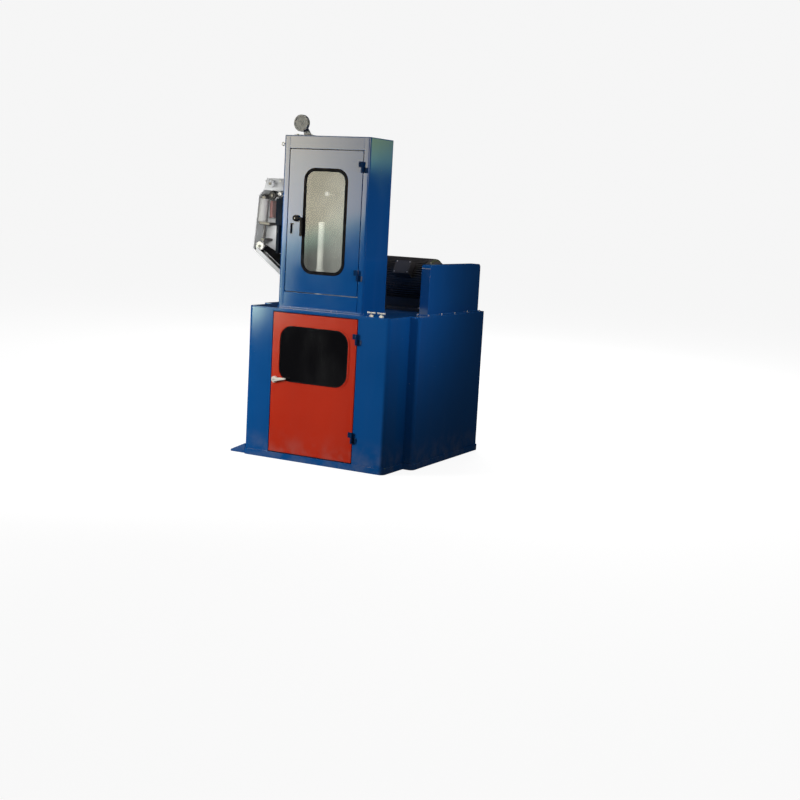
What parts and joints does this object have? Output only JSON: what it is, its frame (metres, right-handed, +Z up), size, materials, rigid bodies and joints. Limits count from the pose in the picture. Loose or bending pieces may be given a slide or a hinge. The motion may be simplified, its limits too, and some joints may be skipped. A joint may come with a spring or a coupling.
{
  "type": "wire drawing machine",
  "caption": "Floor-standing wire drawing machine: blue sheet-metal base with a red door, an annealing tower with a glazed door, an exit tray with rollers, a motor and a belt guard.",
  "frame": {"origin": "on the floor, under the middle of the machine's outline", "axes": "+Z up, -Y towards the front with the two doors, +X towards the belt guard"},
  "size_m": [1.156, 1.2202, 2.075],
  "materials": {
    "blue_paint": "gloss",
    "red_paint": "gloss",
    "black_paint": "satin",
    "grey_paint": "satin",
    "zinc_plated_steel": "satin",
    "hard_steel": "gloss",
    "cream_lever": "gloss",
    "white_ceramic": "gloss",
    "black_plastic": "satin",
    "liner_paint": "satin",
    "gasket_rubber": "satin",
    "dark_glass": "gloss",
    "clear_glass": "gloss",
    "brown_felt": "matt"
  },
  "bodies": {
    "machine": {"plinth": "blue_paint", "anchor_feet": "blue_paint", "floor_plate": "blue_paint", "front_left_wall": "blue_paint", "front_right_wall": "blue_paint", "rear_left_wall": "blue_paint", "rear_right_wall": "blue_paint", "back_wall": "blue_paint", "front_top_rail": "blue_paint", "deck_plate": "blue_paint", "tower_left_wall": "blue_paint", "tower_right_wall": "blue_paint", "tower_back_wall": "blue_paint", "tower_roof": "blue_paint", "tower_head_rail": "blue_paint", "tower_sill_panel": "blue_paint", "tower_foot_strip": "blue_paint", "exit_tray": "blue_paint", "wiper_channel": "blue_paint", "belt_guard": "blue_paint", "roller_frame": "black_paint", "motor_base": "black_paint", "motor_frame": "black_paint", "motor_fan_cowl": "black_paint", "motor_end_shield": "black_paint", "terminal_box": "black_paint", "chamber_back": "grey_paint", "die_bar": "grey_paint", "hinge_pins": "zinc_plated_steel", "top_pulley_stand": "zinc_plated_steel", "guide_eye": "zinc_plated_steel", "deck_valves": "zinc_plated_steel", "drawing_cones": "hard_steel", "ceramic_guide": "white_ceramic", "entry_eye": "white_ceramic", "tower_liner": "liner_paint", "steam_tube": "liner_paint", "felt_wiper": "brown_felt"},
    "lower_door": {"lower_door_panel": "red_paint", "lower_glass": "dark_glass", "lower_knuckles": "red_paint", "lower_handle_boss": "cream_lever"},
    "lower_handle": {"lower_handle_lever": "cream_lever"},
    "upper_door": {"upper_door_panel": "blue_paint", "upper_gasket": "gasket_rubber", "upper_glass": "clear_glass", "upper_knuckles": "blue_paint", "upper_handle_boss": "black_paint", "latch_hook": "black_paint"},
    "upper_handle": {"upper_handle_lever": "black_paint"},
    "top_pulley": {"top_pulley": "zinc_plated_steel"},
    "exit_pulley": {"exit_pulley": "white_ceramic"},
    "guide_wheel": {"guide_wheel": "black_plastic"},
    "corner_roller": {"corner_roller": "white_ceramic"},
    "guide_roller": {"guide_roller": "white_ceramic"}
  },
  "joints": [
    {"name": "lower_door_hinge", "type": "hinge", "parent": "machine", "child": "lower_door", "pos_m": [0.2935, -0.59585, 0.5], "axis": [0, 0, 1], "range_deg": [0, 120]},
    {"name": "upper_door_hinge", "type": "hinge", "parent": "machine", "child": "upper_door", "pos_m": [0.2285, -0.50785, 1.46], "axis": [0, 0, 1], "range_deg": [0, 120]},
    {"name": "lower_handle_turn", "type": "hinge", "parent": "lower_door", "child": "lower_handle", "pos_m": [-0.262, -0.58685, 0.487], "axis": [0, 1, 0], "range_deg": [0, 90]},
    {"name": "upper_handle_turn", "type": "hinge", "parent": "upper_door", "child": "upper_handle", "pos_m": [-0.213, -0.49885, 1.46], "axis": [0, -1, 0], "range_deg": [0, 90]},
    {"name": "top_pulley_spin", "type": "hinge", "parent": "machine", "child": "top_pulley", "pos_m": [-0.243, -0.43685, 2.025], "axis": [0, 1, 0], "continuous": true},
    {"name": "exit_pulley_spin", "type": "hinge", "parent": "machine", "child": "exit_pulley", "pos_m": [-0.494, -0.45985, 1.277], "axis": [0, 1, 0], "continuous": true},
    {"name": "guide_wheel_spin", "type": "hinge", "parent": "machine", "child": "guide_wheel", "pos_m": [-0.416, -0.45885, 1.588], "axis": [0, 1, 0], "continuous": true},
    {"name": "corner_roller_spin", "type": "hinge", "parent": "machine", "child": "corner_roller", "pos_m": [-0.411, -0.49185, 1.657], "axis": [0, 1, 0], "continuous": true},
    {"name": "guide_roller_spin", "type": "hinge", "parent": "machine", "child": "guide_roller", "pos_m": [-0.471, -0.47185, 1.497], "axis": [0.0872, 0, 0.9962], "continuous": true}
  ]
}
